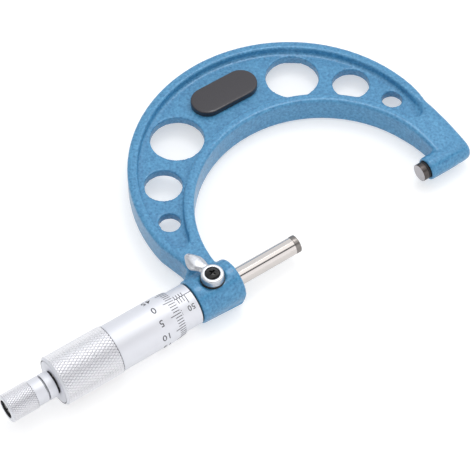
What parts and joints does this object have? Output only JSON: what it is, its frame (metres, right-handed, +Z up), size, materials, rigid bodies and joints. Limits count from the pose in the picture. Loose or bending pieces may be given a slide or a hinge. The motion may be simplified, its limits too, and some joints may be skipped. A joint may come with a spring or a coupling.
{
  "type": "outside micrometer",
  "caption": "Outside micrometer with a blue painted bow, satin sleeve and thimble, a ratchet stop and a lever spindle lock, lying on its side.",
  "frame": {"origin": "middle of the anvil's measuring face", "axes": "+X along the spindle from the thimble to the anvil, +Y towards the crown of the bow, +Z up, out of the bow's side"},
  "size_m": [0.1931, 0.0937, 0.0202],
  "materials": {
    "blue hammered paint": "gloss",
    "satin chrome": "satin",
    "ground steel": "satin",
    "carbide": "satin",
    "black plastic": "satin",
    "blackened steel": "satin",
    "brass": "satin"
  },
  "bodies": {
    "bow": {"frame": "blue hammered paint", "anvil": "ground steel", "anvil_tip": "carbide", "pad_top": "black plastic", "pad_bottom": "black plastic", "inner_sleeve": "ground steel", "adjusting_nut": "ground steel", "lock_shoe": "brass"},
    "sleeve": {"graduated_sleeve": "satin chrome"},
    "slide": {"spindle_tip": "carbide"},
    "screw": {"spindle": "ground steel", "thimble": "satin chrome", "ratchet_body": "ground steel", "ratchet_washer": "ground steel", "ratchet_screw": "ground steel"},
    "knob": {"ratchet_knob": "satin chrome", "ratchet_spring": "ground steel"},
    "clutch": {"ratchet_clutch": "ground steel"},
    "lock": {"lock_lever": "satin chrome", "lock_screw": "blackened steel", "lock_stud": "ground steel", "lock_washer": "blackened steel"}
  },
  "joints": [
    {"name": "spindle_travel", "type": "slide", "parent": "bow", "child": "slide", "axis": [1, 0, 0], "range_m": [-0.021, 0.004]},
    {"name": "thimble_turn", "type": "hinge", "parent": "slide", "child": "screw", "pos_m": [-0.054, 0, 0], "axis": [1, 0, 0], "range_deg": [-15120, 2880]},
    {"name": "ratchet_turn", "type": "hinge", "parent": "screw", "child": "knob", "pos_m": [-0.15705, 0, 0], "axis": [1, 0, 0], "continuous": true},
    {"name": "clutch_lift", "type": "slide", "parent": "knob", "child": "clutch", "axis": [-1, 0, 0], "range_m": [0, 0.0005], "stiffness_N_per_m": 800, "springref_m": -0.003, "deforming": ["ratchet_spring"]},
    {"name": "lock_turn", "type": "hinge", "parent": "bow", "child": "lock", "pos_m": [-0.0893, 0, 0.0071], "axis": [0, 0, 1], "range_deg": [-45, 10]},
    {"name": "sleeve_zero_set", "type": "hinge", "parent": "bow", "child": "sleeve", "pos_m": [-0.0981, 0, 0], "axis": [1, 0, 0], "range_deg": [-10, 10]}
  ],
  "couplings": [
    {"joint": "thimble_turn", "follows": "spindle_travel", "rad_per_m": 12566}
  ]
}
